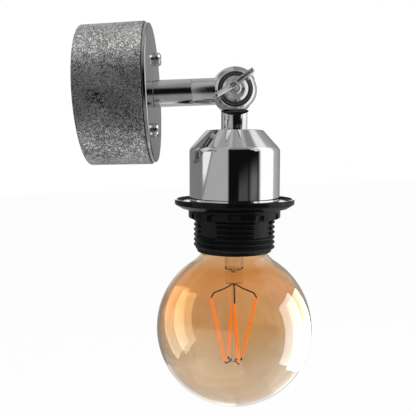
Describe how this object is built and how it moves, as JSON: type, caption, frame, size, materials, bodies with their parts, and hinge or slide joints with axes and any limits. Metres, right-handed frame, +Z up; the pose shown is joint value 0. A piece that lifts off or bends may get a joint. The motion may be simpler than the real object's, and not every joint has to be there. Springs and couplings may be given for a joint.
{
  "type": "wall light",
  "caption": "Wall light with a round base, a short arm, a ball knuckle locked by a wing screw, a polished cup over a threaded lamp holder with shade ring, and a bare globe bulb.",
  "frame": {"origin": "middle of the wall face of the base, half way between the two wall screw slots", "axes": "-Y straight out of the wall towards the room, +Z up with the bulb hanging down along -Z, +X to the right for someone who faces the wall"},
  "size_m": [0.078, 0.107, 0.1911],
  "materials": {
    "drum_housing": "cast with a mottled, slightly rough pewter surface",
    "front_plate": "satin with a polished rounded edge",
    "cover_screws": "polished",
    "terminal_block": "moulded, off-white",
    "terminal_tubes": "plain",
    "terminal_screws": "zinc plated",
    "block_screw": "zinc plated",
    "earth_screw": "plain",
    "earth_washer": "plain",
    "arm_nipple": "zinc plated, threaded",
    "arm_washer": "zinc plated",
    "arm_nut": "zinc plated",
    "arm_tube": "polished nickel",
    "knuckle_arm_half": "polished nickel",
    "arm_wires": "silicone sheath",
    "knuckle_head_half": "polished nickel",
    "knuckle_washer": "dull steel",
    "wing_screw": "cast and plated",
    "neck_nipple": "zinc plated, threaded",
    "cup": "mirror polished",
    "cup_washer": "zinc plated",
    "cup_nut": "zinc plated",
    "holder_cap": "moulded black",
    "holder_core": "glazed white",
    "holder_terminals": "plain",
    "holder_terminal_screws": "zinc plated",
    "head_wires": "silicone sheath",
    "screw_shell": "rolled thread",
    "centre_contact": "spring strip",
    "holder_skirt": "moulded black with an outside thread",
    "shade_ring": "moulded black",
    "cap_contact": "tinned",
    "cap_insulator": "black glass",
    "bulb_cap": "rolled thread",
    "driver_board": "circuit board with parts",
    "glass_globe": "gold tinted, clear",
    "glass_stem": "clear",
    "stem_rod": "clear",
    "filaments": "orange coated strip",
    "filament_wires": "fine wire"
  },
  "bodies": {
    "base": {"drum_housing": "drum_housing", "front_plate": "front_plate", "cover_screws": "cover_screws", "terminal_block": "terminal_block", "terminal_tubes": "terminal_tubes", "terminal_screws": "terminal_screws", "block_screw": "block_screw", "earth_screw": "earth_screw", "earth_washer": "earth_washer", "arm_nipple": "arm_nipple", "arm_washer": "arm_washer", "arm_nut": "arm_nut", "arm_tube": "arm_tube", "knuckle_arm_half": "knuckle_arm_half", "arm_wires": "arm_wires"},
    "head": {"knuckle_head_half": "knuckle_head_half", "neck_nipple": "neck_nipple", "cup": "cup", "cup_washer": "cup_washer", "cup_nut": "cup_nut", "holder_cap": "holder_cap", "holder_core": "holder_core", "holder_terminals": "holder_terminals", "holder_terminal_screws": "holder_terminal_screws", "head_wires": "head_wires", "screw_shell": "screw_shell", "centre_contact": "centre_contact", "holder_skirt": "holder_skirt"},
    "knuckle_washer": {"knuckle_washer": "knuckle_washer"},
    "wing_screw": {"wing_screw": "wing_screw"},
    "shade_ring": {"shade_ring": "shade_ring"},
    "bulb_tip": {"cap_contact": "cap_contact"},
    "bulb": {"cap_insulator": "cap_insulator", "bulb_cap": "bulb_cap", "driver_board": "driver_board", "glass_globe": "glass_globe", "glass_stem": "glass_stem", "stem_rod": "stem_rod", "filaments": "filaments", "filament_wires": "filament_wires"}
  },
  "joints": [
    {"name": "knuckle_tilt", "type": "hinge", "parent": "base", "child": "head", "pos_m": [0, -0.0723, 0], "axis": [-1, 0, 0], "range_deg": [-12, 195]},
    {"name": "washer_slide", "type": "slide", "parent": "head", "child": "knuckle_washer", "axis": [-1, 0, 0], "range_m": [0, 0.0008]},
    {"name": "wing_screw_turn", "type": "hinge", "parent": "knuckle_washer", "child": "wing_screw", "pos_m": [0, -0.0723, 0], "axis": [-1, 0, 0], "range_deg": [0, 360]},
    {"name": "shade_ring_slide", "type": "slide", "parent": "head", "child": "shade_ring", "axis": [0, 0.0366, -0.9993], "range_m": [0, 0.016]},
    {"name": "bulb_slide", "type": "slide", "parent": "head", "child": "bulb_tip", "axis": [0, 0.0366, -0.9993], "range_m": [0, 0.0109]},
    {"name": "bulb_turn", "type": "hinge", "parent": "bulb_tip", "child": "bulb", "pos_m": [0, -0.0723, 0], "axis": [0, 0.0366, -0.9993], "range_deg": [0, 1080]}
  ],
  "couplings": [
    {"joint": "washer_slide", "follows": "wing_screw_turn", "m_per_rad": 0.0001273},
    {"joint": "bulb_slide", "follows": "bulb_turn", "m_per_rad": 0.00057757}
  ]
}
